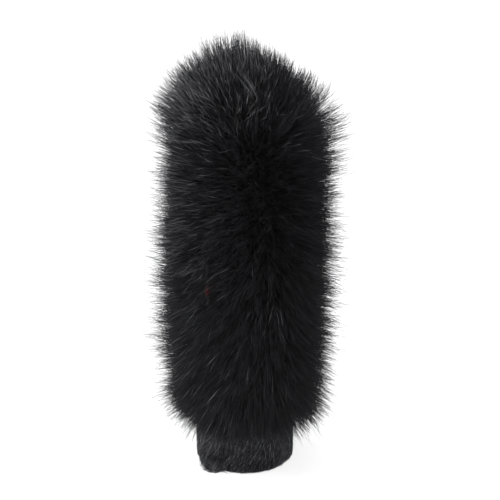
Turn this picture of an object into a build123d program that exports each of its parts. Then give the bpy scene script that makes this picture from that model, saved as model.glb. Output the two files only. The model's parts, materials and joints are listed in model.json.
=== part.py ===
from build123d import *

import os
from math import cos, radians, sin

# Furry microphone windscreen: a bored foam windscreen inside a lined, long-pile fur cover
# that slips off upwards. Millimetres, +Z up. The origin is the centre of the open lower
# end, on the plane that the windscreen stands on.

# Foam windscreen
foam_radius = 19.0
foam_height = 172.0
foam_shoulder = 14.0
foam_foot_fillet = 1.2
mic_bore_radius = 9.5
mic_bore_depth = 150.0
mouth_chamfer = 1.5

# Layers of the cover, as distances outwards from the foam's surface
lining_inner = 0.3
lining_outer = 0.8
thread_line = 1.05
backing_inner = 1.4
backing_outer = 2.4
pile_root = 2.7

# Heights of the seams
cuff_join_height = 24.0
top_seam_height = 156.0
seam_allowance_gap = 0.1

# Seam that closes the side panel and the cuff, as an angle about +Z from +X
side_seam_angle = 242.0
side_seam_gap = 0.4

# Fur pile
pile_radius = 43.5
pile_dome_centre = 152.5
pile_split_angle = 22.0
pile_flank_height = 90.0
pile_skirt_radius = 40.5
pile_skirt_height = 12.5
pile_skirt_corner = 17.0

# Cuff: one strip, folded up over an elastic loop
cuff_outer = 2.5
cuff_cloth = 0.7
cuff_facing_height = 20.0
cuff_fold_fillet = 0.6
elastic_thickness = 0.6
elastic_width = 8.0
elastic_bottom = 2.0
lining_bottom = 21.0

# Sewing thread
thread_radius = 0.18
stitch_length = 3.2
ring_stitch_count = 36
hem_stitch_count = 40
hem_stitch_length = 2.2
hem_stitch_height = 12.0
side_stitch_pitch = 3.6
side_stitch_lean = 38.0
cuff_stitch_count = 3

# Woven label, a flattened loop of ribbon caught in the side seam
label_bottom = 84.0
label_height = 18.0
label_root_radius = 20.6
label_length = 12.4
label_thickness = 1.0
ribbon_thickness = 0.35
label_clearance = 0.3


def plug_section(stand_off, bottom):
    """Half-section of a round-shouldered plug that stands off the foam by a fixed distance."""
    radius = foam_radius + stand_off
    top = foam_height + stand_off
    shoulder = foam_shoulder + stand_off
    with BuildSketch(Plane.XZ) as section:
        with BuildLine():
            Polyline((0, top), (0, bottom), (radius, bottom), (radius, top - shoulder))
            CenterArc((radius - shoulder, top - shoulder), shoulder, 0, 90)
            Line((radius - shoulder, top), (0, top))
        make_face()
    return section.sketch


def seam_plane(stand_off, height, lean):
    """Plane that touches the side seam, facing outwards, with its Y leaning off vertical."""
    radius = foam_radius + stand_off
    turn = radians(side_seam_angle)
    tilt = radians(lean)
    across = Vector(-sin(turn) * cos(tilt), cos(turn) * cos(tilt), sin(tilt))
    return Plane(
        origin=(radius * cos(turn), radius * sin(turn), height),
        x_dir=across,
        z_dir=(cos(turn), sin(turn), 0),
    )


def zigzag_planes(stand_off, bottom, count):
    """Planes up the side seam, one for each stitch, leaning left and right in turn."""
    return [
        seam_plane(
            stand_off,
            bottom + side_stitch_pitch * (index + 0.5),
            side_stitch_lean * (-1) ** index,
        )
        for index in range(count)
    ]


# Foam windscreen ------------------------------------------------------------------------

with BuildPart() as foam_windscreen:
    revolve(plug_section(0, 0), axis=Axis.Z)
    fillet(foam_windscreen.edges().group_by(Axis.Z)[0], foam_foot_fillet)
    with BuildSketch(Plane.XY):
        Circle(mic_bore_radius)
    extrude(amount=mic_bore_depth, mode=Mode.SUBTRACT)
    mouth = foam_windscreen.edges().group_by(Axis.Z)[0].sort_by(SortBy.LENGTH)[0]
    chamfer(mouth, mouth_chamfer)

# Lining ---------------------------------------------------------------------------------

with BuildPart() as lining_sleeve:
    with BuildSketch(Plane.XY.offset(lining_bottom)):
        Circle(foam_radius + lining_outer)
        Circle(foam_radius + lining_inner, mode=Mode.SUBTRACT)
    extrude(amount=top_seam_height - lining_bottom)

with BuildPart() as lining_top:
    revolve(plug_section(lining_outer, top_seam_height + seam_allowance_gap), axis=Axis.Z)
    revolve(plug_section(lining_inner, top_seam_height), axis=Axis.Z, mode=Mode.SUBTRACT)

# Fur fabric: knitted backing --------------------------------------------------------------

with BuildPart() as side_panel_backing:
    with BuildSketch(Plane.XY.offset(cuff_join_height + seam_allowance_gap)):
        Circle(foam_radius + backing_outer)
        Circle(foam_radius + backing_inner, mode=Mode.SUBTRACT)
        with PolarLocations(foam_radius + backing_outer, 1, side_seam_angle):
            Rectangle(2 * backing_outer, side_seam_gap, mode=Mode.SUBTRACT)
    extrude(amount=top_seam_height - cuff_join_height - seam_allowance_gap)
    with BuildSketch(Plane.XY.offset(label_bottom - label_clearance)):
        with PolarLocations(foam_radius + backing_outer, 1, side_seam_angle):
            Rectangle(2 * backing_outer, label_thickness + 2 * label_clearance)
    extrude(amount=label_height + 2 * label_clearance, mode=Mode.SUBTRACT)

with BuildPart() as top_panel_backing:
    revolve(plug_section(backing_outer, top_seam_height + seam_allowance_gap), axis=Axis.Z)
    revolve(plug_section(backing_inner, top_seam_height), axis=Axis.Z, mode=Mode.SUBTRACT)

# Fur fabric: pile -------------------------------------------------------------------------

pile_root_radius = foam_radius + pile_root
pile_split = (
    pile_radius * cos(radians(pile_split_angle)),
    pile_dome_centre + pile_radius * sin(radians(pile_split_angle)),
)

with BuildPart() as side_panel_pile:
    with BuildSketch(Plane.XZ):
        with BuildLine():
            Polyline(
                (pile_skirt_radius - pile_skirt_corner, pile_skirt_height),
                (pile_root_radius, pile_skirt_height),
                (pile_root_radius, top_seam_height),
                pile_split,
            )
            CenterArc((0, pile_dome_centre), pile_radius, 0, pile_split_angle)
            Polyline(
                (pile_radius, pile_dome_centre),
                (pile_radius, pile_flank_height),
                (pile_skirt_radius, pile_skirt_height + pile_skirt_corner),
            )
            CenterArc(
                (pile_skirt_radius - pile_skirt_corner, pile_skirt_height + pile_skirt_corner),
                pile_skirt_corner,
                -90,
                90,
            )
        make_face()
    revolve(axis=Axis.Z)
    with BuildSketch(Plane.XY.offset(label_bottom - label_clearance)):
        with PolarLocations(label_root_radius + label_length / 2, 1, side_seam_angle):
            Rectangle(label_length + 2 * label_clearance, label_thickness + 2 * label_clearance)
    extrude(amount=label_height + 2 * label_clearance, mode=Mode.SUBTRACT)

with BuildPart() as top_panel_pile:
    with BuildSketch(Plane.XZ):
        with BuildLine():
            Polyline(
                (0, pile_dome_centre + pile_radius),
                (0, top_seam_height),
                (pile_root_radius, top_seam_height),
                pile_split,
            )
            CenterArc(
                (0, pile_dome_centre), pile_radius, pile_split_angle, 90 - pile_split_angle
            )
        make_face()
    revolve(axis=Axis.Z)
    revolve(plug_section(pile_root, 0), axis=Axis.Z, mode=Mode.SUBTRACT)

# Cuff -------------------------------------------------------------------------------------

with BuildPart() as cuff_band:
    with BuildSketch(Plane.XY):
        Circle(foam_radius + cuff_outer)
        Circle(foam_radius + lining_inner, mode=Mode.SUBTRACT)
    extrude(amount=cuff_join_height)
    fillet(cuff_band.edges().group_by(Axis.Z)[0], cuff_fold_fillet)
    with BuildSketch(Plane.XY.offset(cuff_cloth)):
        Circle(foam_radius + cuff_outer - cuff_cloth)
        Circle(foam_radius + lining_inner + cuff_cloth, mode=Mode.SUBTRACT)
    extrude(amount=cuff_join_height, mode=Mode.SUBTRACT)
    with BuildSketch(Plane.XY.offset(cuff_facing_height)):
        Circle(foam_radius + lining_inner + cuff_cloth)
    extrude(amount=cuff_join_height, mode=Mode.SUBTRACT)
    with BuildSketch(Plane.XY):
        with PolarLocations(foam_radius + cuff_outer / 2, 1, side_seam_angle):
            Rectangle(2 * cuff_outer, side_seam_gap)
    extrude(amount=cuff_join_height, mode=Mode.SUBTRACT)

with BuildPart() as cuff_elastic:
    elastic_inner_radius = foam_radius + lining_inner + cuff_cloth + seam_allowance_gap
    with BuildSketch(Plane.XY.offset(elastic_bottom)):
        Circle(elastic_inner_radius + elastic_thickness)
        Circle(elastic_inner_radius, mode=Mode.SUBTRACT)
    extrude(amount=elastic_width)

# Sewing threads ---------------------------------------------------------------------------

with BuildPart(Plane.XY.offset(top_seam_height)) as top_seam_thread:
    with PolarLocations(foam_radius + thread_line, ring_stitch_count):
        Cylinder(thread_radius, stitch_length)

with BuildPart(Plane.XY.offset(cuff_join_height)) as cuff_join_thread:
    with PolarLocations(foam_radius + thread_line, ring_stitch_count):
        Cylinder(thread_radius, stitch_length)

with BuildPart(Plane.XY.offset(hem_stitch_height)) as cuff_hem_thread:
    with PolarLocations(foam_radius + cuff_outer + thread_radius, hem_stitch_count):
        Cylinder(thread_radius, hem_stitch_length, rotation=(90, 0, 0))

side_stitch_bottom = cuff_join_height + stitch_length / 2
side_stitch_span = top_seam_height - stitch_length / 2 - side_stitch_bottom
with BuildPart() as side_seam_thread:
    stitch_planes = zigzag_planes(
        thread_line, side_stitch_bottom, int(side_stitch_span / side_stitch_pitch)
    )
    with Locations(*stitch_planes):
        Cylinder(thread_radius, stitch_length, rotation=(90, 0, 0))

cuff_stitch_line = cuff_outer - cuff_cloth - 2 * thread_radius
cuff_stitch_bottom = elastic_bottom + elastic_width
with BuildPart() as cuff_seam_thread:
    with Locations(*zigzag_planes(cuff_stitch_line, cuff_stitch_bottom, cuff_stitch_count)):
        Cylinder(thread_radius, stitch_length, rotation=(90, 0, 0))

# Label ------------------------------------------------------------------------------------

with BuildPart() as woven_label:
    with BuildSketch(Plane.XY.offset(label_bottom)):
        with PolarLocations(label_root_radius + label_length / 2, 1, side_seam_angle):
            SlotOverall(label_length, label_thickness)
            SlotOverall(
                label_length - 2 * ribbon_thickness,
                label_thickness - 2 * ribbon_thickness,
                mode=Mode.SUBTRACT,
            )
    extrude(amount=label_height)

# Export -----------------------------------------------------------------------------------

sub_parts = {
    "foam_windscreen": foam_windscreen,
    "lining_sleeve": lining_sleeve,
    "lining_top": lining_top,
    "side_panel_backing": side_panel_backing,
    "side_panel_pile": side_panel_pile,
    "top_panel_backing": top_panel_backing,
    "top_panel_pile": top_panel_pile,
    "side_seam_thread": side_seam_thread,
    "top_seam_thread": top_seam_thread,
    "cuff_band": cuff_band,
    "cuff_elastic": cuff_elastic,
    "cuff_join_thread": cuff_join_thread,
    "cuff_hem_thread": cuff_hem_thread,
    "cuff_seam_thread": cuff_seam_thread,
    "woven_label": woven_label,
}

os.makedirs("parts", exist_ok=True)
for name, sub_part in sub_parts.items():
    sub_part.part.label = name
    export_step(sub_part.part, f"parts/{name}.step")
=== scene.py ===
import json
import math

import bpy
import numpy as np
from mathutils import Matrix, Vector
from mathutils.kdtree import KDTree


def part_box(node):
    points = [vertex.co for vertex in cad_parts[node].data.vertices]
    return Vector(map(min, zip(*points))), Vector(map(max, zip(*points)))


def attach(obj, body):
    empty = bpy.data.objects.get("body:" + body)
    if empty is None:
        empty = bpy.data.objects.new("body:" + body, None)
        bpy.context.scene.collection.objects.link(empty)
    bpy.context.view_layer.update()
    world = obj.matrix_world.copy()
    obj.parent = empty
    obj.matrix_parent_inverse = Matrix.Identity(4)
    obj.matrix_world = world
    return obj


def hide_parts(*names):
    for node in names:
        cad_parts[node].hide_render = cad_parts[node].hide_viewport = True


# Furry windscreen: a bored foam windscreen inside a lined long-pile fur cover with a brushed
# cuff. The fur is real strands, grown from the backing's surface. Metres, +Z up, -Y to the
# front.

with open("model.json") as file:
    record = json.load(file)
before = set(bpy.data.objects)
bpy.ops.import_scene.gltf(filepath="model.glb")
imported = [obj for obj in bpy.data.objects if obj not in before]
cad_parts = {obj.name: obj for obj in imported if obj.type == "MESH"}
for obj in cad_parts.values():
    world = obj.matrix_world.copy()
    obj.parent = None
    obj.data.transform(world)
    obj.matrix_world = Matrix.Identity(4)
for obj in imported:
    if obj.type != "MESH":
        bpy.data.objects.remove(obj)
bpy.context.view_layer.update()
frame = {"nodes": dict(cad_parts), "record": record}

MM = 0.001
TURN = 2 * math.pi
FOAM_BODY = "foam_core"
COVER_BODY = "fur_cover"


# --- Sizes read from the frame ---


def radius_of(node):
    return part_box(node)[1].x


def mount(name):
    return next(m for m in frame["record"]["mounts"] if m["name"] == name)


FOAM_R = radius_of("foam_windscreen")
FOAM_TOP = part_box("foam_windscreen")[1].z
BORE_R = mount("microphone_bore")["dims"]["r_mm"] * MM
BORE_TOP = mount("microphone_bore")["pos_m"][2] * 2
BACKING_R = radius_of("side_panel_backing")
BACKING_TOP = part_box("top_panel_backing")[1].z
LINING_R = radius_of("lining_sleeve")
LINING_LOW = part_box("lining_sleeve")[0].z
LINING_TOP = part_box("lining_top")[1].z
JOIN_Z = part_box("side_panel_backing")[0].z
SEAM_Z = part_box("side_panel_backing")[1].z
CUFF_R = radius_of("cuff_band")
CUFF_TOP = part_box("cuff_band")[1].z
PILE_R = radius_of("side_panel_pile")
PILE_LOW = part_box("side_panel_pile")[0].z
PILE_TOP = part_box("top_panel_pile")[1].z
LABEL_LOW, LABEL_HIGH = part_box("woven_label")
LABEL_MID = (LABEL_LOW + LABEL_HIGH) / 2
SEAM_ANGLE = math.atan2(LABEL_MID.y, LABEL_MID.x)
SEAM_OUT = np.array([math.cos(SEAM_ANGLE), math.sin(SEAM_ANGLE), 0])
SEAM_ASIDE = np.array([-SEAM_OUT[1], SEAM_OUT[0], 0])

FIT_GAP = 0.3 * MM
LINING_CLOTH = 0.5 * MM
BACKING_CLOTH = 1.0 * MM
CUFF_CLOTH = 0.7 * MM
SEAM_GAP = 0.4 * MM
SHOULDER = 14 * MM


# --- Numbers and noise ---


def smooth_noise(points, scale, seed, waves=24):
    """Smooth random field from -1 to 1 over (N, 3) points, whose bumps are about scale wide."""
    rng = np.random.default_rng(seed)
    way = rng.normal(size=(waves, 3))
    way /= np.linalg.norm(way, axis=1, keepdims=True)
    way *= (TURN / scale) * rng.uniform(0.5, 1.3, (waves, 1))
    phase = rng.uniform(0, TURN, waves)
    return np.clip(np.sin(points @ way.T + phase).sum(1) / math.sqrt(waves), -2.2, 2.2) / 2.2


def unit(vectors):
    return vectors / np.maximum(np.linalg.norm(vectors, axis=-1, keepdims=True), 1e-12)


def nearest(points, centres):
    """For each point, the index of the nearest centre."""
    tree = KDTree(len(centres))
    for index, centre in enumerate(centres):
        tree.insert(centre, index)
    tree.balance()
    return np.array([tree.find(point)[1] for point in points])


def ramp(x, xs, ys):
    return np.interp(x, xs, ys)


# --- Mesh building ---


def mesh_from_arrays(name, points, corners, starts):
    """Object from a flat list of face corners and the index at which each face starts."""
    mesh = bpy.data.meshes.new(name)
    mesh.vertices.add(len(points))
    mesh.vertices.foreach_set("co", np.ascontiguousarray(points, np.float32).ravel())
    mesh.loops.add(len(corners))
    mesh.loops.foreach_set("vertex_index", np.ascontiguousarray(corners, np.int32))
    mesh.polygons.add(len(starts))
    mesh.polygons.foreach_set("loop_start", np.ascontiguousarray(starts, np.int32))
    mesh.update(calc_edges=True)
    mesh.polygons.foreach_set("use_smooth", np.full(len(starts), True))
    obj = bpy.data.objects.new(name, mesh)
    bpy.context.scene.collection.objects.link(obj)
    return obj


def flat_faces(faces):
    """Corners of all the faces in one list, and the index at which each face starts."""
    sizes = [len(face) for face in faces]
    return np.concatenate(faces), np.concatenate([[0], np.cumsum(sizes)[:-1]])


def mesh_from_faces(name, points, faces):
    return mesh_from_arrays(name, points, *flat_faces(faces))


def quads(grid):
    """Faces between the neighbouring vertices of a grid of vertex numbers."""
    sides = [grid[:-1, :-1], grid[:-1, 1:], grid[1:, 1:], grid[1:, :-1]]
    return np.stack(sides, -1).reshape(-1, 4)


def tube_faces(rows, sides):
    """Side faces of a closed tube whose vertices run ring by ring."""
    grid = np.arange(rows * sides).reshape(rows, sides)
    return list(quads(np.hstack([grid, grid[:, :1]])))


def ring_ways(along, aside, sides):
    """Unit vectors round each point of a line, one for each side of a tube there."""
    side = unit(np.cross(along, aside))
    other = np.cross(along, side)
    turn = (TURN * np.arange(sides) / sides)[:, None]
    return side[..., None, :] * np.cos(turn) + other[..., None, :] * np.sin(turn)


def dress(obj, material, body, node):
    """Gives a piece its material and body, and hides the CAD node that it stands for."""
    obj.data.materials.append(material)
    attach(obj, body)
    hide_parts(node)


def arc(centre, radius, start, end, count):
    """Points (r, z) on an arc of the half-section, from start to end in degrees."""
    angles = np.radians(np.linspace(start, end, count))
    return np.array(centre) + radius * np.stack([np.cos(angles), np.sin(angles)], 1)


def spaced(corners, step):
    """Half-section line through the corners, with points no further apart than step."""
    corners = np.asarray(corners, float)
    out = []
    for start, end in zip(corners[:-1], corners[1:]):
        count = max(1, math.ceil(np.linalg.norm(end - start) / step))
        out.append(start + (end - start) * (np.arange(count) / count)[:, None])
    out.append(corners[-1:])
    return np.concatenate(out)


def lathe(section, around, gap=0.0, ring=True):
    """Turns a half-section of (r, z) points about Z: its points and faces.

    A ring section is a closed loop. Otherwise the section runs from the axis to the axis.
    With a gap, the piece is open there, at the side seam, and its two ends are capped."""
    section = np.asarray(section, float)
    open_angle = gap / section[:, 0].max()
    count = around + (1 if gap else 0)
    turn = TURN - open_angle
    angles = SEAM_ANGLE + open_angle / 2 + turn * (np.arange(count) / around)
    rows = section if ring else section[1:-1]
    r, z = rows[:, :1], rows[:, 1:]
    points = np.stack([r * np.cos(angles), r * np.sin(angles), z + 0 * angles], -1)
    points = points.reshape(-1, 3)
    grid = np.arange(len(points)).reshape(len(rows), count)
    if ring:
        grid = np.vstack([grid, grid[:1]])
    if not gap:
        grid = np.hstack([grid, grid[:, :1]])
    faces = list(quads(grid))
    if not ring:
        low, high = len(points), len(points) + 1
        points = np.vstack([points, [0, 0, section[0, 1]], [0, 0, section[-1, 1]]])
        faces += [(low, b, a) for a, b in zip(grid[0, :-1], grid[0, 1:])]
        faces += [(high, a, b) for a, b in zip(grid[-1, :-1], grid[-1, 1:])]
    if gap and ring:
        faces.append(grid[:-1, 0])
        faces.append(grid[:-1, -1][::-1])
    return points, faces


def read(items, field, kind=np.float32, width=3):
    values = np.empty(len(items) * width, kind)
    items.foreach_get(field, values)
    return values.reshape(-1, width)


def places(obj):
    return read(obj.data.vertices, "co").astype(float)


def displace(obj, distances, directions=None):
    """Moves each vertex by its distance, along its normal where no directions are given."""
    if directions is None:
        directions = read(obj.data.vertices, "normal")
    points = places(obj) + directions * distances[:, None]
    obj.data.vertices.foreach_set("co", points.astype(np.float32).ravel())
    obj.data.update()


def corners_of(obj):
    """The vertex at each face corner."""
    return read(obj.data.loops, "vertex_index", np.int32, 1)[:, 0]


def set_map(obj, name, across, up):
    """Gives a piece a UV map, from its values at each face corner."""
    layer = obj.data.uv_layers.new(name=name)
    layer.data.foreach_set("uv", np.stack([across, up], 1).astype(np.float32).ravel())


# --- Materials ---


class Look:
    """A new node material, with short calls for the nodes that the materials below use."""

    def __init__(self, name):
        self.material = bpy.data.materials.new(name)
        self.material.use_nodes = True
        self.tree = self.material.node_tree
        self.shader = self.tree.nodes["Principled BSDF"]

    def node(self, kind, inputs=(), **settings):
        node = self.tree.nodes.new(kind)
        for key, value in settings.items():
            setattr(node, key, value)
        for socket, value in dict(inputs).items():
            self.feed(node.inputs[socket], value)
        return node

    def feed(self, socket, value):
        if isinstance(value, bpy.types.NodeSocket):
            self.tree.links.new(value, socket)
        else:
            socket.default_value = value

    def object_place(self, scale=(1, 1, 1)):
        where = self.node("ShaderNodeTexCoord").outputs["Object"]
        return self.node("ShaderNodeMapping", {"Vector": where, "Scale": scale}).outputs[0]

    def map_parts(self, name):
        """The two values of a UV map: across and up."""
        where = self.node("ShaderNodeUVMap", uv_map=name).outputs["UV"]
        parts = self.node("ShaderNodeSeparateXYZ", {"Vector": where})
        return parts.outputs["X"], parts.outputs["Y"]

    def noise(self, scale, detail, roughness=0.5, stretch=(1, 1, 1)):
        place = self.object_place(stretch)
        inputs = {"Vector": place, "Scale": scale, "Detail": detail, "Roughness": roughness}
        return self.node("ShaderNodeTexNoise", inputs).outputs["Fac"]

    def cells(self, place, scale):
        inputs = {"Vector": place, "Scale": scale}
        return self.node("ShaderNodeTexVoronoi", inputs).outputs["Distance"]

    def maths(self, operation, *values):
        inputs = dict(enumerate(values))
        return self.node("ShaderNodeMath", inputs, operation=operation).outputs[0]

    def add(self, one, other):
        return self.maths("ADD", one, other)

    def times(self, one, other):
        return self.maths("MULTIPLY", one, other)

    def sine(self, value):
        return self.maths("SINE", value)

    def mix(self, factor, one, other, blend="MIX"):
        inputs = {0: factor, 6: one, 7: other}
        settings = {"data_type": "RGBA", "blend_type": blend}
        return self.node("ShaderNodeMix", inputs, **settings).outputs[2]

    def colours(self, factor, *stops):
        """Colour ramp with stops of (place, (r, g, b)), or of (place, grey)."""
        node = self.node("ShaderNodeValToRGB", {"Fac": factor})
        elements = node.color_ramp.elements
        while len(elements) < len(stops):
            elements.new(0.5)
        for element, (place, colour) in zip(elements, stops):
            element.position = place
            element.color = (*np.broadcast_to(colour, 3), 1)
        return node.outputs["Color"]

    def share(self, value, low, high):
        """How far the value is from low to high, from 0 to 1."""
        inputs = {"Value": value, "From Min": low, "From Max": high}
        return self.node("ShaderNodeMapRange", inputs).outputs[0]

    def bump(self, height, distance, strength=1.0):
        inputs = {"Height": height, "Distance": distance, "Strength": strength}
        return self.node("ShaderNodeBump", inputs).outputs[0]

    def finish(self, **sockets):
        for key, value in sockets.items():
            self.feed(self.shader.inputs[key.replace("_", " ")], value)
        return self.material


STRAND_MAP = "OFBake"
CLOTH_MAP = "Cloth"


def fur_material(name, root, middle, tip, roughness, gloss, band=(0.0, 0.55, 1.0)):
    """Fibre whose colour runs from root to tip and from strand to strand.

    The strand map holds a strand's tone across and the place along it upwards. band gives
    the places along the strand of the three colours."""
    look = Look(name)
    tone, place = look.map_parts(STRAND_MAP)
    along = look.colours(place, *zip(band, (root, middle, tip)))
    tone = look.colours(tone, (0.0, 0.3), (0.6, 1.2), (1.0, 4.0))
    colour = look.mix(1.0, along, tone, "MULTIPLY")
    return look.finish(Base_Color=colour, Roughness=roughness, Specular_IOR_Level=gloss)


def foam_material():
    look = Look("open_cell_foam")
    place = look.object_place()
    pores = look.add(look.cells(place, 1500), look.times(look.cells(place, 3600), 0.5))
    mixed = look.add(look.times(pores, 0.7), look.noise(60, 3))
    colour = look.colours(
        mixed, (0.35, (0.07, 0.07, 0.075)), (0.7, (0.03, 0.03, 0.033)), (1.0, 0.008)
    )
    normal = look.bump(look.times(pores, -1), 0.35 * MM, 0.9)
    return look.finish(Base_Color=colour, Roughness=0.95, Normal=normal)


def knit_material(name, dark, light, wales, courses):
    """Knitted cloth, with so many columns and rows of loops in a metre of the cloth's map."""
    look = Look(name)
    across, up = look.map_parts(CLOTH_MAP)
    column = look.times(across, TURN * wales)
    row = look.times(up, TURN * courses)
    loops = look.sine(look.add(row, look.times(look.sine(column), 1.2)))
    ribs = look.maths("ABSOLUTE", look.sine(look.times(column, 0.5)))
    height = look.add(look.times(loops, 0.35), ribs)
    blotch = look.noise(180, 3)
    shade = look.add(look.times(height, 0.5), blotch)
    colour = look.colours(shade, (0.3, dark), (1.2, light))
    fuzz = look.noise(2600, 2)
    bump = look.bump(look.add(height, look.times(fuzz, 0.4)), 0.18 * MM)
    return look.finish(Base_Color=colour, Roughness=0.9, Normal=bump, Sheen_Weight=0.25)


def fleece_material():
    look = Look("brushed_cuff")
    fibres = look.noise(1700, 4, 0.7, (1, 1, 0.22))
    patches = look.noise(110, 3)
    mixed = look.add(look.times(fibres, 0.7), look.times(patches, 0.5))
    colour = look.colours(
        mixed,
        (0.35, (0.002, 0.002, 0.0025)),
        (0.62, (0.005, 0.005, 0.006)),
        (0.85, (0.015, 0.015, 0.018)),
    )
    return look.finish(
        Base_Color=colour,
        Roughness=0.93,
        Normal=look.bump(fibres, 0.3 * MM, 0.9),
        Sheen_Weight=0.08,
        Sheen_Roughness=0.5,
        Specular_IOR_Level=0.12,
    )


def thread_material():
    look = Look("sewing_thread")
    ply = look.noise(5200, 2)
    colour = look.colours(ply, (0.3, 0.006), (0.75, (0.035, 0.035, 0.037)))
    return look.finish(
        Base_Color=colour, Roughness=0.55, Normal=look.bump(ply, 0.05 * MM, 0.6)
    )


def ribbon_material(low, high):
    """Black woven ribbon with one dull red stripe across its lower part."""
    look = Look("woven_ribbon")
    across, up = look.map_parts(CLOTH_MAP)
    warp = look.sine(look.times(across, TURN * 2600))
    weft = look.sine(look.times(up, TURN * 2200))
    weave = look.times(warp, weft)
    drift = look.noise(700, 2)
    shade = look.add(look.times(weave, 0.22), drift)
    black = look.colours(shade, (0.25, 0.003), (0.85, 0.009))
    red = look.colours(shade, (0.25, (0.06, 0.001, 0.002)), (0.85, (0.16, 0.004, 0.008)))
    stripe = look.colours(
        look.share(up, low, high), (0, 0), (0.23, 0), (0.25, 1), (0.42, 1), (0.44, 0)
    )
    return look.finish(
        Base_Color=look.mix(stripe, black, red),
        Roughness=0.65,
        Normal=look.bump(weave, 0.06 * MM, 0.8),
        Specular_IOR_Level=0.2,
    )


def elastic_material():
    look = Look("ribbed_elastic")
    bands = look.node(
        "ShaderNodeTexWave",
        {"Vector": look.object_place(), "Scale": 320.0, "Distortion": 0.6},
        bands_direction="Z",
    ).outputs["Fac"]
    colour = look.colours(bands, (0.2, 0.008), (0.8, 0.05))
    return look.finish(
        Base_Color=colour, Roughness=0.8, Normal=look.bump(bands, 0.12 * MM, 0.8)
    )


FLOOR_GLOW = 0.80


def floor_material():
    """Pale floor with a slight glow of its own, as a light table has, so shadows are faint."""
    look = Look("pale_floor")
    grain = look.noise(90, 4)
    colour = look.colours(grain, (0.3, 0.32), (0.7, 0.34))
    return look.finish(
        Base_Color=colour,
        Roughness=0.85,
        Specular_IOR_Level=0.2,
        Emission_Color=(1, 1, 1, 1),
        Emission_Strength=FLOOR_GLOW,
    )


DARK = (0.025, 0.025, 0.028)
# The guard hair's root colour is a touch lighter than the rest: painted light against the shade
# deep in the coat.
FUR = fur_material("fur_guard_hair", (0.026, 0.026, 0.029), DARK, DARK, 0.55, 0.15)
# Painted glints: a pale band painted along the upper part of each strand, standing in for light
# caught by glossy hairs.
PAINTED_GLINT_FUR = fur_material(
    "fur_bright_hair", 0.018, (0.22, 0.22, 0.23), (0.025, 0.025, 0.027), 0.35, 0.6,
    band=(0.5, 0.73, 0.96),
)
GREY = (0.030, 0.030, 0.033)
UNDERCOAT = fur_material("fur_undercoat", GREY, GREY, GREY, 0.8, 0.15)
NAP = fur_material(
    "cuff_nap", 0.003, (0.026, 0.026, 0.031), (0.19, 0.19, 0.21), 0.6, 0.25
)


# --- Camera, light and floor ---

VIEW_DISTANCE = 0.58
VIEW_HEIGHT = 0.31
AIM_HEIGHT = 0.0975
VIEW_SIDE = 2.4 * MM
LENS = 102.7
SKY_LIGHT = 0.66
KEY_POWER = 11.5
OVERHEAD_POWER = 19


def aim(obj, target):
    way = Vector(target) - obj.location
    obj.rotation_euler = way.to_track_quat("-Z", "Y").to_euler()


def make_camera():
    camera = bpy.data.objects.new("camera", bpy.data.cameras.new("camera"))
    bpy.context.scene.collection.objects.link(camera)
    camera.location = (VIEW_SIDE, -VIEW_DISTANCE, VIEW_HEIGHT)
    aim(camera, (VIEW_SIDE, 0, AIM_HEIGHT))
    camera.data.lens = LENS
    bpy.context.scene.camera = camera


def area_light(name, place, target, size, power):
    light = bpy.data.lights.new(name, "AREA")
    light.shape = "DISK"
    light.size = size
    light.energy = power
    obj = bpy.data.objects.new(name, light)
    bpy.context.scene.collection.objects.link(obj)
    obj.location = place
    aim(obj, target)


def make_studio():
    scene = bpy.context.scene
    scene.view_settings.view_transform = "Standard"
    world = bpy.data.worlds.new("studio")
    world.use_nodes = True
    background = world.node_tree.nodes["Background"]
    background.inputs["Color"].default_value = (1, 1, 1, 1)
    background.inputs["Strength"].default_value = SKY_LIGHT
    scene.world = world
    area_light("key", (-1.0, -0.15, 0.75), (0, 0, 0.12), 0.6, KEY_POWER)
    area_light("overhead", (-0.2, 0.55, 1.9), (0, 0.55, 0), 2.0, OVERHEAD_POWER)


def make_floor():
    """A floor that curves up into a backdrop on every side, open at the top."""
    flat, rise = 1.6, 1.2
    line = np.concatenate(
        [spaced([(0, 0), (flat, 0)], 0.1), arc((flat, rise), rise, -90, 0, 16)[1:]]
    )
    points, faces = lathe(np.vstack([line, [0, rise + 1.6]]), 96, ring=False)
    lid = len(points) - 1
    floor = mesh_from_faces("floor", points[:-1], [face for face in faces if lid not in face])
    floor.data.materials.append(floor_material())


# --- Foam windscreen ---


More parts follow.
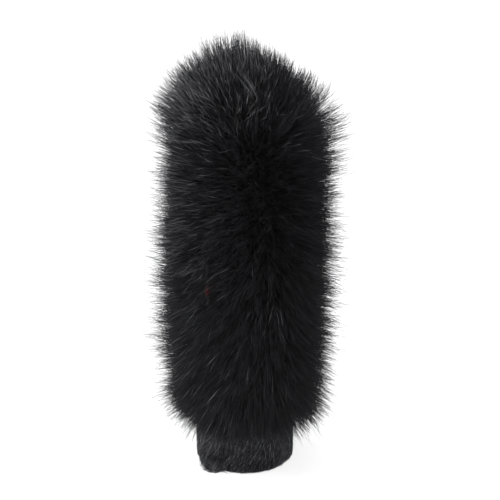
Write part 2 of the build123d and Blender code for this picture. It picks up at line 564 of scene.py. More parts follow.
def make_foam():
    """Open-cell foam: a bored, round-topped sleeve whose skin is pitted with cut cells."""
    foot, mouth, step = 1.2 * MM, 1.5 * MM, 0.6 * MM
    outline = np.concatenate(
        [
            [(0, BORE_TOP)],
            spaced([(BORE_R * 0.2, BORE_TOP), (BORE_R, BORE_TOP)], step),
            spaced([(BORE_R, BORE_TOP), (BORE_R, mouth)], 1.2 * MM)[1:],
            spaced([(BORE_R, mouth), (BORE_R + mouth, 0), (FOAM_R - foot, 0)], step)[1:],
            arc((FOAM_R - foot, foot), foot, -90, 0, 5)[1:],
            spaced([(FOAM_R, foot), (FOAM_R, FOAM_TOP - SHOULDER)], step)[1:],
            arc((FOAM_R - SHOULDER, FOAM_TOP - SHOULDER), SHOULDER, 0, 90, 34)[1:],
            spaced([(FOAM_R - SHOULDER, FOAM_TOP), (0, FOAM_TOP)], step)[1:],
        ]
    )
    foam = mesh_from_faces("foam_sleeve", *lathe(outline, 200, ring=False))
    rng = np.random.default_rng(11)
    where = places(foam)
    outside = np.hypot(where[:, 0], where[:, 1]) > BORE_R + mouth * 0.9
    outside &= where[:, 2] > 0.2 * MM
    pit_count = 9000
    centres = where[outside][rng.choice(outside.sum(), pit_count, replace=False)]
    centres += rng.normal(0, 0.3 * MM, centres.shape)
    picked = nearest(where, centres)
    away = np.linalg.norm(where - centres[picked], axis=1)
    depths = 0.26 * MM * rng.uniform(0.4, 1, pit_count)
    pits = -np.exp(-((away / (0.42 * MM)) ** 2)) * depths[picked]
    pits -= 0.05 * MM * (1 + smooth_noise(where, 9 * MM, 12))
    displace(foam, pits * outside)
    dress(foam, foam_material(), FOAM_BODY, "foam_windscreen")


# --- Cloth tubes ---


def cloth_map(obj):
    """UV map of a cloth tube in metres: the way round it, and the way up or in over the top."""
    corner = places(obj)[corners_of(obj)]
    radius = np.hypot(corner[:, 0], corner[:, 1])
    turn = np.mod(np.arctan2(corner[:, 1], corner[:, 0]) - SEAM_ANGLE, TURN)
    inwards = BACKING_R - np.minimum(radius, BACKING_R)
    set_map(obj, CLOTH_MAP, turn * BACKING_R, corner[:, 2] + inwards)


def tube_section(outer_r, cloth, low, high, step=1.5 * MM):
    inner_r = outer_r - cloth
    corners = [(inner_r, high), (inner_r, low), (outer_r, low), (outer_r, high), (inner_r, high)]
    return spaced(corners, step)[:-1]


def cap_section(outer_r, cloth, low, top, step=1.2 * MM):
    """Closed section of a shouldered cap with its opening at low."""
    shoulder = SHOULDER + outer_r - FOAM_R
    centre = (outer_r - shoulder, top - shoulder)
    outer, inner = (
        np.concatenate(
            [
                spaced([(outer_r - depth, low), (outer_r - depth, centre[1])], step)[:-1],
                arc(centre, shoulder - depth, 0, 90, 14),
                spaced([(centre[0], top - depth), (0.35 * MM, top - depth)], step)[1:],
            ]
        )
        for depth in (0, cloth)
    )
    return np.concatenate([outer, inner[::-1]])


def make_cloth_piece(name, section, gap, material, node):
    piece = mesh_from_faces(name, *lathe(section, 160, gap))
    displace(piece, 0.05 * MM * smooth_noise(places(piece), 7 * MM, len(name)))
    cloth_map(piece)
    dress(piece, material, COVER_BODY, node)


def make_layer(names, material, outer_r, cloth, low, top):
    """A layer's tube, closed at the side seam, and its cap, whose cut piece is a disc."""
    (tube, tube_node), (cap, cap_node) = names
    seam = 0.1 * MM
    section = tube_section(outer_r, cloth, low, SEAM_Z - seam)
    make_cloth_piece(tube, section, SEAM_GAP, material, tube_node)
    section = cap_section(outer_r, cloth, SEAM_Z + seam, top)
    make_cloth_piece(cap, section, 0, material, cap_node)


def make_linings_and_backing():
    lining = knit_material("tricot_lining", 0.02, (0.075, 0.075, 0.08), 900, 1100)
    names = ("lining_tube", "lining_sleeve"), ("lining_cap", "lining_top")
    make_layer(names, lining, LINING_R, LINING_CLOTH, LINING_LOW, LINING_TOP)
    backing = knit_material("knitted_backing", 0.006, 0.03, 560, 700)
    names = ("knit_tube", "side_panel_backing"), ("knit_cap", "top_panel_backing")
    make_layer(names, backing, BACKING_R, BACKING_CLOTH, JOIN_Z, BACKING_TOP)


# --- Cuff ---


def cuff_shift(points):
    """How far the cuff's cloth stands in or out: soft gathers over the elastic, and drape."""
    angle = np.arctan2(points[:, 1], points[:, 0])
    height = points[:, 2]
    gathers = np.sin(23 * angle + 1.3 * np.sin(3 * angle)) * 0.12 * MM
    drape = 0.25 * MM * smooth_noise(points, 16 * MM, 31)
    grip = ramp(height, [0, 6 * MM, 12 * MM, CUFF_TOP], [1, 1, 0.5, 0.2])
    before = np.degrees(np.mod(SEAM_ANGLE - angle, TURN))
    flap = ramp(before, [0, 2, 8, 16, 28, 45], [0.1, 0.5, 0.9, 1, 0.5, 0])
    flap = flap * ramp(height, [0, 3 * MM, 7 * MM, 12 * MM], [3.4 * MM, 2.3 * MM, 1.0 * MM, 0])
    return gathers * grip + drape * ramp(height, [0, 1.2 * MM, CUFF_TOP], [0.2, 1, 0.5]) + flap


def make_cuff():
    """One strip of brushed cloth folded up inside itself, closed at the side seam."""
    facing = 20 * MM
    inner_r = FOAM_R + FIT_GAP
    fold = CUFF_CLOTH
    step = 0.5 * MM
    outline = np.concatenate(
        [
            spaced([(inner_r, facing), (inner_r, fold)], step),
            arc((inner_r + fold, fold), fold, 180, 270, 5)[1:],
            arc((CUFF_R - fold, fold), fold, -90, 0, 5),
            spaced([(CUFF_R, fold), (CUFF_R, CUFF_TOP)], step)[1:],
            spaced([(CUFF_R - CUFF_CLOTH, CUFF_TOP), (CUFF_R - CUFF_CLOTH, CUFF_CLOTH)], step),
            spaced([(inner_r + CUFF_CLOTH, CUFF_CLOTH), (inner_r + CUFF_CLOTH, facing)], step),
        ]
    )
    cuff = mesh_from_faces("cuff_cloth", *lathe(outline, 420, SEAM_GAP))
    where = places(cuff)
    radius = np.hypot(where[:, 0], where[:, 1])
    outwards = np.stack([where[:, 0] / radius, where[:, 1] / radius, 0 * radius], 1)
    outside = ramp(radius, [inner_r + 0.9 * MM, CUFF_R - CUFF_CLOTH], [0, 1])
    nubs = 0.07 * MM * smooth_noise(where, 1.6 * MM, 33)
    displace(cuff, (cuff_shift(where) + nubs) * outside, outwards)
    cloth_map(cuff)
    dress(cuff, fleece_material(), COVER_BODY, "cuff_band")


def make_elastic():
    materials = frame["nodes"]["cuff_elastic"].data.materials
    materials.clear()
    materials.append(elastic_material())


# --- Stitches ---


def capsule(points, radii, sides=6):
    """Closed tube along (K, 3) points: its vertices and faces."""
    along = unit(np.gradient(points, axis=0))
    aside = np.where(abs(along[:, 2:]) < 0.9, [[0, 0, 1.0]], [[1.0, 0, 0]])
    rings = ring_ways(along, aside, sides)
    verts = (points[:, None] + rings * radii[:, None, None]).reshape(-1, 3)
    end = np.arange(sides)
    faces = tube_faces(len(points), sides) + [end[::-1], end + len(verts) - sides]
    return verts, faces


def twisted_stitch(middle, along, outwards, length, thickness, dip):
    """Two plies twisted round each other, whose ends dip into the cloth."""
    count = 12
    t = np.linspace(-1, 1, count)
    line = middle + np.outer(t, along) * length / 2 - np.outer(t**4, outwards) * dip
    across = np.cross(along, outwards)
    pieces = []
    for ply in (0, math.pi):
        turn = 2.2 * math.pi * t + ply
        offset = np.outer(np.cos(turn), outwards) + np.outer(np.sin(turn), across)
        radii = thickness * np.sqrt(np.clip(1.02 - t**6, 0.05, 1)) * 0.62
        pieces.append(capsule(line + offset * thickness * 0.45, radii))
    return pieces


def make_stitches(name, node, places_of, length, thickness, dip):
    verts, faces, base = [], [], 0
    for where in places_of:
        for piece_verts, piece_faces in twisted_stitch(*where, length, thickness, dip):
            verts.append(piece_verts)
            faces += [face + base for face in piece_faces]
            base += len(piece_verts)
    obj = mesh_from_faces(name, np.concatenate(verts), faces)
    dress(obj, THREAD, COVER_BODY, node)


def ring_places(radius, height, count, upright, shift=None):
    out = []
    for index in range(count):
        angle = TURN * index / count
        outwards = np.array([math.cos(angle), math.sin(angle), 0])
        along = (0, 0, 1) if upright else (-math.sin(angle), math.cos(angle), 0)
        middle = radius * outwards + (0, 0, height)
        if shift is not None:
            middle = middle + outwards * shift(middle[None])[0]
        out.append((middle, along, outwards))
    return out


def zigzag_places(radius, low, high, pitch, lean):
    out = []
    for index in range(int((high - low) / pitch)):
        tilt = math.radians(lean) * (-1) ** index
        along = SEAM_ASIDE * math.sin(tilt) + (0, 0, math.cos(tilt))
        middle = SEAM_OUT * radius + (0, 0, low + pitch * (index + 0.5))
        out.append((middle, along, SEAM_OUT))
    return out


THREAD = thread_material()


def make_threads():
    fine, pitch, lean = 0.11 * MM, 3.6 * MM, 38
    inside = FOAM_R + 1.05 * MM
    long_stitch, hem_stitch = 3.2 * MM, 2.2 * MM
    low, high = JOIN_Z + long_stitch / 2, SEAM_Z - long_stitch / 2
    seams = {
        "top_seam": ring_places(inside, SEAM_Z, 36, True),
        "cuff_join": ring_places(inside, JOIN_Z, 36, True),
        "side_seam": zigzag_places(inside, low, high, pitch, lean),
        "cuff_seam": zigzag_places(FOAM_R + 1.44 * MM, 10 * MM, 20.9 * MM, pitch, lean),
    }
    for seam, where in seams.items():
        make_stitches(f"{seam}_stitches", f"{seam}_thread", where, long_stitch, fine, 0)
    hem_low, hem_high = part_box("cuff_hem_thread")
    hem = ring_places(CUFF_R + 0.1 * MM, (hem_low.z + hem_high.z) / 2, 40, False, cuff_shift)
    make_stitches("hem_stitches", "cuff_hem_thread", hem, hem_stitch, 0.14 * MM, 0.25 * MM)


# --- Label ---


def make_label():
    """Flattened loop of ribbon, caught in the side seam, a little curled at its free end."""
    low_z, high_z = LABEL_LOW.z, LABEL_HIGH.z
    root, end = 20.6 * MM, 33.0 * MM
    half, cloth = 0.5 * MM, 0.3 * MM
    line = np.concatenate(
        [
            np.stack([np.linspace(root, end - half, 20), np.full(20, half)], 1),
            arc((end - half, 0), half, 90, -90, 9)[1:-1],
            np.stack([np.linspace(end - half, root, 20), np.full(20, -half)], 1),
        ]
    )
    step = unit(np.gradient(line, axis=0))
    normal = np.stack([-step[:, 1], step[:, 0]], 1)
    loops = [line, line + normal * cloth]
    rows = np.linspace(low_z, high_z, 15)
    verts = []
    for loop in loops:
        for z in rows:
            bend = 0.3 * MM * ramp(loop[:, 0], [root, 25 * MM, end], [0, 0, 1])
            across = loop[:, 1] + bend * math.sin(900 * (z - low_z))
            flat = np.outer(loop[:, 0], SEAM_OUT) + np.outer(across, SEAM_ASIDE)
            verts.append(flat + (0, 0, z))
    count = len(line)
    verts = np.concatenate(verts)
    grid = np.arange(len(verts)).reshape(2, len(rows), count)
    faces = [
        *quads(grid[0]),
        *quads(grid[1])[:, ::-1],
        *quads(grid[::-1, 0]),
        *quads(grid[:, -1]),
        *quads(grid[:, :, 0]),
        *quads(grid[::-1, :, -1]),
    ]
    label = mesh_from_faces("ribbon_label", verts, faces)
    corners = corners_of(label)
    travel = np.concatenate([[0], np.cumsum(np.linalg.norm(np.diff(line, axis=0), axis=1))])
    set_map(label, CLOTH_MAP, travel[corners % count], verts[corners, 2])
    dress(label, ribbon_material(low_z, high_z), COVER_BODY, "woven_label")
    flat = (high_z - low_z, travel[-1])


# --- Fur ---

MAX_STRANDS = 6800
ROOT_DEPTH = 0.1 * MM


def outward(angle):
    """Level unit vectors at the angles round the Z axis."""
    return np.stack([np.cos(angle), np.sin(angle), 0 * angle], 1)


def sideways_of(out):
    """Level vectors a quarter turn round from the outward ones."""
    return np.stack([-out[:, 1], out[:, 0], 0 * out[:, 0]], 1)


def strand_mesh(name, lines, radii, tones):
    """Closed, pointed, three-sided strands.

    lines is (N, K, 3), radii (N, K) and tones (N,). The last point of a line is its tip."""
    count, rings = lines.shape[:2]
    rng = np.random.default_rng(len(name) + count)
    along = unit(np.gradient(lines, axis=1))
    aside = unit(rng.normal(size=(count, 1, 3)))
    body = rings - 1
    verts = ring_ways(along[:, :body], aside, 3) * radii[:, :body, None, None]
    verts += lines[:, :body, None]
    verts = np.concatenate([verts.reshape(count, body * 3, 3), lines[:, -1:]], 1)
    per = body * 3 + 1
    tip, last = body * 3, (body - 1) * 3
    one = tube_faces(body, 3)
    one += [(last + k, last + (k + 1) % 3, tip) for k in range(3)]
    one.append((2, 1, 0))
    corners, starts = flat_faces(one)
    shift = np.arange(count)[:, None]
    all_corners = (corners[None] + shift * per).ravel()
    all_starts = (starts[None] + shift * len(corners)).ravel()
    obj = mesh_from_arrays(name, verts.reshape(-1, 3), all_corners, all_starts)
    height = np.append(np.repeat(np.arange(body), 3), body) / body
    u = np.repeat(np.clip(tones, 0.01, 0.99), len(corners))
    v = np.tile(0.01 + 0.98 * height[corners], count)
    set_map(obj, STRAND_MAP, u, v)
    return obj


def grow(roots, starts, ends, lengths, rings, curl, seed):
    """Lines from the roots that turn from their start way to their end way."""
    t = np.linspace(0, 1, rings)
    middle = (t[1:] + t[:-1]) / 2
    way = unit(starts[:, None] * (1 - middle)[:, None] + ends[:, None] * middle[:, None])
    steps = way * lengths[:, None, None] / (rings - 1)
    lines = np.concatenate([roots[:, None], roots[:, None] + np.cumsum(steps, 1)], 1)
    rng = np.random.default_rng(seed)
    wobble = rng.normal(size=(len(roots), 2, 3))
    phase = rng.uniform(0, TURN, (len(roots), 1, 1))
    swing = np.sin(3.1 * t[None, :, None] + phase) * wobble[:, :1]
    swing += np.sin(6.3 * t[None, :, None] + 2 * phase) * wobble[:, 1:] * 0.4
    return lines + (swing - swing[:, :1]) * curl * (t**1.2)[None, :, None]


def outline_radius(points):
    """How far the points stand from the fur's outline: negative inside it, in metres."""
    z = points[..., 2]
    share = (z - PILE_LOW) / (PILE_TOP - PILE_LOW)
    edge = ramp(
        share,
        [-0.06, -0.02, 0.02, 0.07, 0.2, 0.7, 0.79, 0.84, 0.88, 0.92, 0.96, 0.985, 1, 1.02],
        [0.66, 0.78, 0.92, 1.04, 1.09, 1.10, 1.07, 0.97, 0.83, 0.61, 0.385, 0.24, 0.08, -1],
    )
    aside = ramp(share, [0.75, 0.86, 0.94, 1.0], [0, -3.4 * MM, -4.6 * MM, -8 * MM])
    across = np.clip(points[..., 0] / PILE_R, -1, 1)
    low_left = np.clip(-across, 0, 1) * ramp(share, [0, 0.08, 0.45, 0.7], [0, 1, 1, 0])
    low_right = np.clip(across, 0, 1) * ramp(share, [-0.04, 0, 0.06, 0.12], [1, 1, 0.6, 0])
    wider = 1 + 0.11 * np.maximum(across, 0.65 * across) + 0.09 * low_left
    edge = edge * (wider + 0.12 * low_right)
    flat = points.reshape(-1, 3)
    waves = 2.2 * MM * smooth_noise(flat, 26 * MM, 47) + 1.9 * MM * smooth_noise(flat, 10 * MM, 48)
    steps = ramp(share, [0.75, 0.9], [1, 1.6])
    edge = edge * PILE_R + waves.reshape(z.shape) * steps
    return np.hypot(points[..., 0] - aside, points[..., 1]) - edge


def reach(roots, starts, ends):
    """Length at which a strand grown from each root would meet the fur's outline."""
    longest, count = 34 * MM, 30
    lines = grow(roots, starts, ends, np.full(len(roots), longest), count, 0, 0)
    outside = outline_radius(lines) > 0
    outside[:, -1] = True
    return outside.argmax(1) / (count - 1) * longest


def gather(lines, lengths, groups, centre_lines, centre_lengths, pull):
    """Draws the strands towards their group's centre line, as tufts of fur."""
    rings = lines.shape[1]
    t = np.linspace(0, 1, rings)[None]
    place = t * (lengths / centre_lengths[groups])[:, None] * (rings - 1)
    low = np.clip(np.floor(place), 0, rings - 2).astype(int)
    part = (place - low)[..., None]
    own = centre_lines[groups]
    before = np.take_along_axis(own, low[..., None], 1)
    after = np.take_along_axis(own, low[..., None] + 1, 1)
    target = before + (after - before) * part
    weight = pull[:, None, None] * (t**1.3)[..., None]
    return lines * (1 - weight) + target * weight


def side_roots(count, rng):
    """Roots on the side panel's backing, with their outward normals."""
    angle = rng.uniform(0, TURN, count)
    height = rng.uniform(JOIN_Z + 0.2 * MM, SEAM_Z, count)
    normal = outward(angle)
    roots = normal * (BACKING_R - ROOT_DEPTH)
    roots[:, 2] = height
    return roots, normal


def top_roots(count, rng):
    """Roots over the top panel's backing, evenly by area, with their outward normals."""
    shoulder = SHOULDER + (BACKING_R - FOAM_R)
    flat_r = BACKING_R - shoulder
    base = BACKING_TOP - shoulder
    tilts = np.linspace(0, math.pi / 2, 40)
    across, up = flat_r + shoulder * np.cos(tilts), base + shoulder * np.sin(tilts)
    section = np.concatenate(
        [
            [(BACKING_R, SEAM_Z, 0)],
            np.stack([across, up, tilts], 1),
            [(0, BACKING_TOP, math.pi / 2)],
        ]
    )
    runs = np.linalg.norm(np.diff(section[:, :2], axis=0), axis=1)
    areas = runs * (section[1:, 0] + section[:-1, 0]) / 2
    covered = np.concatenate([[0], np.cumsum(areas)])
    pick = rng.uniform(0, covered[-1], count)
    radius, height, tilt = (np.interp(pick, covered, section[:, k]) for k in range(3))
    flat = pick > covered[-2]
    radius = np.where(flat, flat_r * np.sqrt(rng.uniform(0, 1, count)), radius)
    angle = rng.uniform(0, TURN, count)
    out = np.stack([np.cos(angle), np.sin(angle)], 1)
    roots = np.column_stack([out * radius[:, None], height])
    normal = np.column_stack([out * np.cos(tilt)[:, None], np.sin(tilt)])
    return roots - normal * ROOT_DEPTH, normal


def side_ways(roots, normal):
    """Start and end ways of the side pile.

    It points out, rises near the top, hangs at the foot and is brushed aside and down on
    the front, and it parts round the label."""
    level = (roots[:, 2] - JOIN_Z) / (SEAM_Z - JOIN_Z)
    around = sideways_of(normal)
    rise = ramp(
        level,
        [0, 0.05, 0.12, 0.25, 0.5, 0.7, 0.85, 1],
        [-1.1, -0.85, -0.5, -0.18, 0.02, 0.14, 0.4, 0.9],
    )
    slant = -0.32 * normal[:, 0] * ramp(level, [0, 0.15, 0.6, 1], [0.3, 1, 0.6, 0])
    gust = 0.25 * smooth_noise(roots, 46 * MM, 41) + 0.12 * smooth_noise(roots, 15 * MM, 44)
    sweep = 0.30 * smooth_noise(roots, 52 * MM, 42) + 0.15 * smooth_noise(roots, 15 * MM, 45)
    ruffle = 0.4 * smooth_noise(roots, 20 * MM, 46) * ramp(level, [0, 0.4, 0.65], [1, 0.7, 0])
    front = np.clip(-normal[:, 1], 0, 1)
    brushed = ramp(normal[:, 0], [-0.6, 0, 0.6, 0.97], [0, 1, 1, 0])
    brushed = brushed * ramp(level, [0, 0.3, 0.85, 1], [0.6, 1, 1, 0.3])
    sweep = sweep + ruffle - 0.6 * front * brushed
    fall = -0.9 * front**1.5 * ramp(level, [0, 0.5, 0.75], [1, 0.7, 0])
    lift = rise + slant + gust
    aside = np.arctan2(roots[:, 1], roots[:, 0]) - SEAM_ANGLE
    aside = np.degrees(np.mod(aside + math.pi, TURN) - math.pi)
    by_label = ramp(
        roots[:, 2],
        [LABEL_LOW.z - 12 * MM, LABEL_LOW.z, LABEL_HIGH.z, LABEL_HIGH.z + 12 * MM],
        [0, 1, 1, 0],
    )
    sweep = sweep - 0.75 * np.sign(aside) * np.exp(-((aside / 16) ** 2)) * by_label
    end = normal + around * sweep[:, None]
    end[:, 2] += lift + fall
    start = normal + around * (0.4 * sweep)[:, None]
    start[:, 2] += 0.4 * lift + 0.2 * fall
    return unit(start), unit(end)


def top_ways(roots, normal):
    """Start and end ways of the top pile: fanned out, more upright on the right."""
    gust = 0.16 * np.stack([smooth_noise(roots, 25 * MM, 51), smooth_noise(roots, 25 * MM, 52)], 1)
    upright = np.clip(normal[:, 0], 0, 1)
    end = 0.6 * normal + np.column_stack([gust, np.full(len(roots), 0.55)])
    end[:, 0] -= 0.12 + 0.32 * upright
    start = normal.copy()
    start[:, 2] += 0.2
    return unit(start), unit(end)


def coat(roots, normal, ways, seed, share, spread, thickness, rings, locks, tufts, curl):
    """Grows one coat of strands, drawn into small tufts and those into larger locks.

    share gives a strand's length, of the way to the fur's outline, from a number 0 to 1.
    locks and tufts are (count, least pull, most pull, lean)."""
    rng = np.random.default_rng(seed)
    count = len(roots)
    start, end = ways(roots, normal)
    full = reach(roots, start, end)
    stray = rng.normal(size=(count, 3)) * spread
    tuft_share = rng.uniform(0.86, 1.02, tufts[0])
    tuft_picks = rng.choice(count, tufts[0], replace=False)
    in_tuft = nearest(roots, roots[tuft_picks])
    lengths = full * share(rng.uniform(0, 1, count), roots) * tuft_share[in_tuft]
    lines = grow(roots, unit(start + stray), unit(end + 1.6 * stray), lengths, rings, curl, seed)
    loose = rng.uniform(0, 1, count) < 0.15
    for level, (groups, low, high, lean) in enumerate((locks, tufts)):
        picked = tuft_picks if level else rng.choice(count, groups, replace=False)
        own = in_tuft if level else nearest(roots, roots[picked])
        bias = rng.normal(size=(groups, 3)) * lean
        centre_lengths = full[picked] * rng.uniform(0.9, 1.06, groups)
        centres = grow(
            roots[picked],
            unit(start[picked] + bias),
            unit(end[picked] + 1.6 * bias),
            centre_lengths,
            rings,
            curl * 0.5,
            seed + 10 + level,
        )
        pull = rng.uniform(low, high, groups)[own] * np.where(loose, 0.15, 1)
        pull *= rng.uniform(0.6, 1, count)
        lines = gather(lines, lengths, own, centres, centre_lengths, pull)
    lines += (roots - lines[:, 0])[:, None]
    t = np.linspace(0, 1, rings)
    taper = np.interp(t, [0, 0.35, 0.8, 1], [0.8, 1, 0.75, 0.15])
    radii = thickness * taper[None] * rng.uniform(0.7, 1.25, count)[:, None]
    # Tone rises with the root's height: painted light, the top of the coat lighter as the light
    # falls from above. Beyond that it differs at random.
    tones = 0.29 + 0.20 * roots[:, 2] / PILE_TOP + 0.10 * rng.normal(size=count)
    tones = tones + 0.05 * smooth_noise(roots, 14 * MM, seed + 3)
    # About one strand in fifty gets a much lighter tone: painted glints.
    bright = rng.uniform(0, 1, count)
    tones = np.where(bright < 0.02, rng.uniform(0.65, 0.99, count), tones)
    return lines, radii, tones


def plant(name, lines, radii, tones, material, node):
    """Puts the strands in pieces small enough to export whole, in bands up the cover."""
    order = np.argsort(lines[:, 0, 2], kind="stable")
    bands = np.array_split(order, math.ceil(len(order) / MAX_STRANDS))
    for index, band in enumerate(bands):
        title = f"{name}_{index + 1:02d}"
        obj = strand_mesh(title, lines[band], radii[band], tones[band])
        dress(obj, material, COVER_BODY, node)


def looseness(roots):
    """0 over the side, and 1 where the pile stands up loose round the top seam and above."""
    return ramp(roots[:, 2], [SEAM_Z - 28 * MM, SEAM_Z], [0, 1])


def guard_share(number, roots):
    """Most hairs end together and the rest thin out towards the outline, more over the crown.

    They are a little shorter on the right, and most so near the foot."""
    even, rest = 0.62, 0.38
    tail = 0.56 - 0.175 * np.log(1 - 0.93 * np.clip(number - even, 0, 1) / rest)
    thinner = ramp(roots[:, 2], [JOIN_Z, JOIN_Z + 50 * MM], [0.14, 0.035])
    side = np.where(number < even, 0.44 + 0.20 * number, tail)
    side = side - thinner * np.clip(roots[:, 0] / BACKING_R, 0, 1)
    even, rest = 0.45, 0.55
    tail = 0.475 + 0.60 * (np.clip(number - even, 0, 1) / rest) ** 1.35
    top = np.where(number < even, 0.34 + 0.30 * number, tail)
    return side + (top - side) * looseness(roots)


def under_share(number, roots):
    return 0.47 + 0.22 * number - 0.11 * looseness(roots)


def bright_share(number, roots):
    return 0.6 + 0.4 * number


def painted_glint_mask(roots, normal, rng):
    """Keeps the strands with painted glints where the light falls on the coat: mostly on the left
    and over the crown.
    """
    level = (roots[:, 2] - JOIN_Z) / (SEAM_Z - JOIN_Z)
    left = np.clip(-normal[:, 0] + 0.05, 0, 1) ** 1.2
    left = left * ramp(level, [0, 0.35, 0.7], [0.1, 0.2, 0.95])
    crown = ramp(level, [0.85, 1.0, 1.1], [0, 0.6, 1.0])
    crown = crown * ramp(normal[:, 0] - 3 * (level - 1), [-0.2, 0.3], [1, 0.1])
    patches = np.clip(0.6 + 0.6 * smooth_noise(roots, 16 * MM, 61), 0.1, 1)
    chance = np.clip(0.02 + 0.8 * left + 0.9 * crown, 0, 1) * patches
    return rng.uniform(0, 1, len(roots)) < chance


PANELS = {"side": (side_roots, side_ways), "top": (top_roots, top_ways)}
# Kind of coat: material, share of the length, rings of a strand, thickness, curl
KINDS = {
    "guard_hair": (FUR, guard_share, 6, 0.07 * MM, 0.5 * MM),
    "bright_hair": (PAINTED_GLINT_FUR, bright_share, 6, 0.075 * MM, 0.6 * MM),
    "undercoat": (UNDERCOAT, under_share, 5, 0.12 * MM, 0.4 * MM),
}
# Panel, kind, strands, spread, seed, locks, tufts
COATS = [
    ("side", "guard_hair", 60000, 0.11, 71, (420, 0.1, 0.45, 0.2), (2600, 0.3, 0.9, 0.15)),
    ("top", "guard_hair", 13000, 0.12, 81, (60, 0.1, 0.45, 0.18), (1000, 0.45, 0.95, 0.12)),
    ("side", "bright_hair", 14000, 0.16, 75, (420, 0.02, 0.15, 0.12), (600, 0.1, 0.5, 0.13)),
    ("top", "bright_hair", 4600, 0.2, 85, (90, 0.02, 0.15, 0.12), (150, 0.1, 0.5, 0.13)),
    ("side", "undercoat", 16000, 0.16, 91, (420, 0.0, 0.1, 0.12), (2000, 0.1, 0.4, 0.15)),
    ("top", "undercoat", 4000, 0.16, 95, (90, 0.0, 0.1, 0.12), (500, 0.1, 0.4, 0.15)),
]


def make_fur():
    rng = np.random.default_rng(70)
    for panel, kind, count, spread, seed, locks, tufts in COATS:
        roots_of, ways = PANELS[panel]
        material, share, rings, thickness, curl = KINDS[kind]
        roots, normal = roots_of(count, rng)
        # Strands with painted glints are kept only where the light falls on the coat.
        if material is PAINTED_GLINT_FUR:
            kept = painted_glint_mask(roots, normal, rng)
            roots, normal = roots[kept], normal[kept]
        strands = coat(
            roots, normal, ways, seed, share, spread, thickness, rings, locks, tufts, curl
        )
        plant(f"{panel}_{kind}", *strands, material, f"{panel}_panel_pile")


def lay(roots, starts, ends, lengths, rings, curl, seed, thickness, lowest):
    """Loose strands whose points stay above a lowest height."""
    rng = np.random.default_rng(seed)
    lines = grow(roots, unit(starts), unit(ends), lengths, rings, curl, seed)
    lines[..., 2] = np.maximum(lines[..., 2], lowest)
    taper = np.interp(np.linspace(0, 1, rings), [0, 0.4, 1], [0.8, 1, 0.2])
    radii = thickness * taper[None] * rng.uniform(0.7, 1.3, len(roots))[:, None]
    return lines, radii, np.clip(0.35 + 0.33 * rng.normal(size=len(roots)), 0.02, 0.98)


def settle(lines, rises):
    """Lays strands down on the cuff, each a little higher than the cloth towards its tip."""
    flat = lines.reshape(-1, 3)
    cloth = (CUFF_R + cuff_shift(flat)).reshape(lines.shape[:2])
    t = np.linspace(0.1, 1, lines.shape[1])
    wanted = cloth + rises[:, None] * t
    lines[..., :2] *= (wanted / np.hypot(lines[..., 0], lines[..., 1]))[..., None]


def cuff_strands(name, angle, heights, lean, lengths, thickness, rise, curl, seed):
    """One coat of brushed fibres on the cuff, all combed down and to one side."""
    rng = np.random.default_rng(seed)
    count = len(angle)
    out = outward(angle)
    roots = out * CUFF_R
    roots[:, 2] = heights
    drift = lean + 0.45 * smooth_noise(roots, 13 * MM, seed) + 0.3 * rng.normal(size=count)
    way = sideways_of(out) * drift[:, None] - np.array([0, 0, 0.9])
    lines, radii, tones = lay(roots, way, way, lengths, 6, curl, seed, thickness, 0.15 * MM)
    settle(lines, rise * rng.uniform(0.4, 1.2, count))
    obj = strand_mesh(name, lines, radii, tones)
    dress(obj, NAP, COVER_BODY, "cuff_band")


def make_cuff_nap():
    """Short brushed fibres over the cuff, some long ones, and frays at the foot of its seam."""
    rng = np.random.default_rng(110)
    # Name, fibres, lowest root, lengths in mm, lean, thickness, rise, curl, seed
    coats = [
        ("cuff_nap_1", 4000, 0.5 * MM, (1.5, 4), -0.45, 0.055 * MM, 0.35 * MM, 0.15 * MM, 112),
        ("cuff_nap_2", 4000, 0.5 * MM, (1.5, 4), -0.45, 0.055 * MM, 0.35 * MM, 0.15 * MM, 113),
        ("cuff_long_nap", 900, 3 * MM, (4, 10), -0.5, 0.08 * MM, 0.4 * MM, 0.25 * MM, 114),
    ]
    for name, count, lowest, (short, long), lean, *rest in coats:
        angle = rng.uniform(0, TURN, count)
        heights = rng.uniform(lowest, CUFF_TOP, count)
        lengths = rng.uniform(short, long, count) * MM
        cuff_strands(name, angle, heights, lean, lengths, *rest)
    count = 420
    angle = SEAM_ANGLE - np.abs(rng.normal(0, 0.18, count)) + 0.03
    heights = rng.uniform(0.8, 7, count) * MM
    lengths = rng.uniform(2, 6, count) * MM
    frays = angle, heights, -0.05, lengths, 0.055 * MM, 1.6 * MM, 0.4 * MM, 115
    cuff_strands("frayed_seam_foot", *frays)


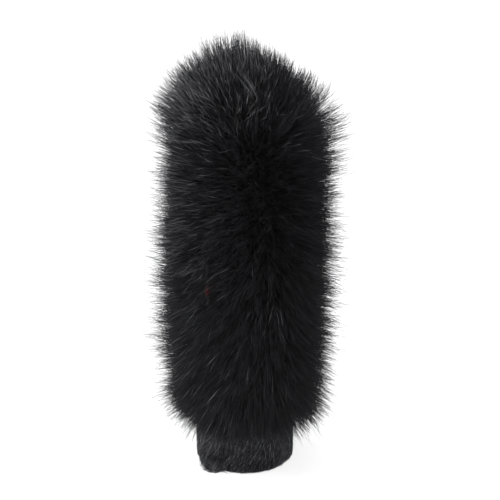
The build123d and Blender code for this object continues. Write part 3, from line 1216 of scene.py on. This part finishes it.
def make_hanging_hair():
    """Long single hairs that hang over the cuff from the lowest edge of the fur."""
    rng = np.random.default_rng(120)
    count = 130
    angle = rng.uniform(0, TURN, count)
    out = outward(angle)
    roots = out * (BACKING_R - ROOT_DEPTH)
    roots[:, 2] = JOIN_Z + rng.uniform(0.3, 5, count) * MM
    end = -0.12 * out + sideways_of(out) * rng.normal(-0.35, 0.5, count)[:, None]
    end[:, 2] -= 1
    start = 0.6 * out - np.array([0, 0, 0.7])
    lengths = rng.uniform(9, 22, count) * MM
    hang = lay(roots, start, end, lengths, 8, 0.9 * MM, 121, 0.07 * MM, 1.5 * MM)
    obj = strand_mesh("hanging_hair", *hang)
    # These hairs take the fur material with painted glints.
    dress(obj, PAINTED_GLINT_FUR, COVER_BODY, "side_panel_pile")


def make_stray_hair():
    """A few long hairs that come up through the coat and lie across it."""
    rng = np.random.default_rng(130)
    across_the_coat = [
        ((-14, -38, 157), (-32, -27, 154), 2, 0.6),
        ((-6, -34, 172), (-27, -27, 175), 4, 1.6),
        ((8, -33, 174), (-5, -25, 184), 8, 1.3),
    ]
    lines = []
    t = np.linspace(0, 1, 9)[:, None]
    for start, end, count, spread in across_the_coat:
        for _ in range(count):
            shift = rng.normal(size=3) * spread
            rise = np.array(start) + shift
            tip = np.array(end) + shift + rng.normal(size=3) * 0.5 * spread
            way = rise * (1, 1, 0)
            root = way / np.linalg.norm(way) * (BACKING_R / MM - 0.1)
            root[2] = min(rise[2] - 4, SEAM_Z / MM - 1)
            lines.append(root * (1 - t) ** 2 + 2 * rise * t * (1 - t) + tip * t**2)
    lines = np.array(lines) * MM
    taper = np.interp(t[:, 0], [0, 0.6, 1], [0.8, 1, 0.2])
    radii = 0.06 * MM * taper[None] * rng.uniform(0.8, 1.2, len(lines))[:, None]
    tones = rng.uniform(0.25, 0.6, len(lines))
    obj = strand_mesh("stray_hair", lines, radii, tones)
    # These hairs take the fur material with painted glints.
    dress(obj, PAINTED_GLINT_FUR, COVER_BODY, "side_panel_pile")


# --- Assembly ---

make_camera()
make_studio()
make_floor()
make_foam()
make_linings_and_backing()
make_cuff()
make_elastic()
make_threads()
make_label()
make_fur()
make_cuff_nap()
make_hanging_hair()
make_stray_hair()
